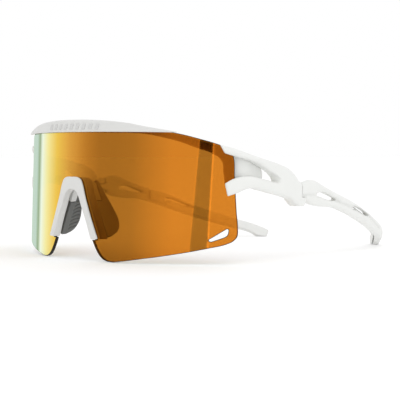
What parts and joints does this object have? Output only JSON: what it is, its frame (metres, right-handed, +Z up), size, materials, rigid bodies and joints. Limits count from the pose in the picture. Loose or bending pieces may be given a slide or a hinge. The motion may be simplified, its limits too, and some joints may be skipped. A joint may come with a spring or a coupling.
{
  "type": "wraparound sport sunglasses",
  "caption": "Wraparound sport sunglasses: one-piece mirrored shield lens, white half frame with forked end covers, clip-in nose bridge with ribbed pads and folding skeleton temple arms.",
  "frame": {"origin": "middle of the footprint, on the surface that the glasses stand on with the arms open", "axes": "+Y from the lens towards the temple tips, +X to the wearer's left, +Z up"},
  "size_m": [0.1502, 0.1728, 0.0623],
  "materials": {
    "white_plastic": "satin white moulded nylon",
    "lens": "amber polycarbonate with a gold to orange mirror coating",
    "pad_rubber": "matt dark grey elastomer",
    "grip_rubber": "matt pale elastomer",
    "steel": "plain steel"
  },
  "bodies": {
    "front": {"brow_bar": "white_plastic", "cover_screw_left": "steel", "cover_screw_right": "steel", "end_cover_left": "white_plastic", "end_cover_right": "white_plastic", "front_frame": "white_plastic", "hinge_screw_left": "steel", "hinge_screw_right": "steel", "nose_bridge": "white_plastic", "nose_pad_carrier_left": "white_plastic", "nose_pad_carrier_right": "white_plastic", "nose_pad_left": "pad_rubber", "nose_pad_right": "pad_rubber", "shield_lens": "lens"},
    "left_arm": {"hinge_sleeve_left": "steel", "temple_arm_left": "white_plastic", "temple_grip_left": "grip_rubber"},
    "right_arm": {"hinge_sleeve_right": "steel", "temple_arm_right": "white_plastic", "temple_grip_right": "grip_rubber"}
  },
  "joints": [
    {"name": "left_arm_fold", "type": "hinge", "parent": "front", "child": "left_arm", "pos_m": [0.06857, -0.0133, 0.02948], "axis": [0, 0.0373, 0.9993], "range_deg": [0, 90]},
    {"name": "right_arm_fold", "type": "hinge", "parent": "front", "child": "right_arm", "pos_m": [-0.06857, -0.0133, 0.02948], "axis": [0, -0.0373, -0.9993], "range_deg": [0, 76]}
  ]
}
